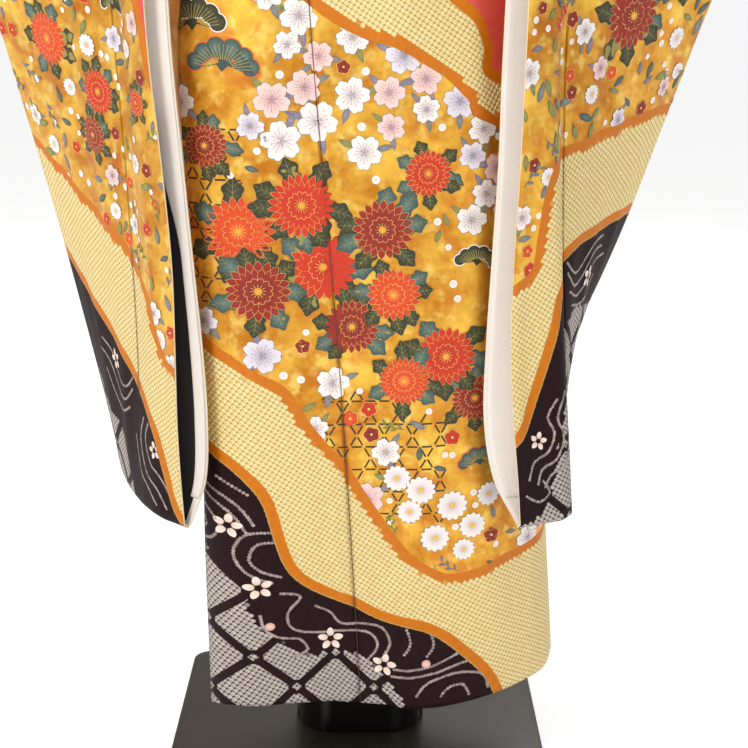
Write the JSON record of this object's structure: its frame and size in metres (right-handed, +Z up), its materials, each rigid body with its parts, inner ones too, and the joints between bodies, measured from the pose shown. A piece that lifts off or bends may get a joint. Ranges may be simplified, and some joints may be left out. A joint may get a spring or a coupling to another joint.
{
  "type": "furisode kimono on a dress form stand",
  "caption": "Long-sleeved furisode kimono wrapped left over right on a limbless dress form, with obi, sleeve bags open at wrist and inner edge, and a square base plate.",
  "frame": {"origin": "centre of the underside of the square base plate", "axes": "+Z up along the stand, -Y is the garment's front, +X is the wearer's left"},
  "size_m": [0.965, 0.4, 1.48],
  "materials": {
    "gold_silk": "satin silk ground with tie-dyed bands and flowers",
    "lining_silk": "plain pale silk",
    "collar_silk": "satin silk",
    "obi_silk": "woven brocade",
    "form_shell": "smooth matt shell",
    "column_gloss": "gloss black",
    "plate_paint": "semi-gloss dark taupe"
  },
  "bodies": {
    "root": {"front_left": "gold_silk", "okumi_left": "gold_silk", "front_right": "gold_silk", "okumi_right": "gold_silk", "back_left": "gold_silk", "back_right": "gold_silk", "collar": "collar_silk", "sleeve_left": "gold_silk", "sleeve_right": "gold_silk", "sleeve_left_lining": "lining_silk", "sleeve_right_lining": "lining_silk", "obi": "obi_silk", "obi_knot": "obi_silk", "form_torso": "form_shell", "stand_column": "column_gloss", "base_plate": "plate_paint"}
  },
  "joints": []
}
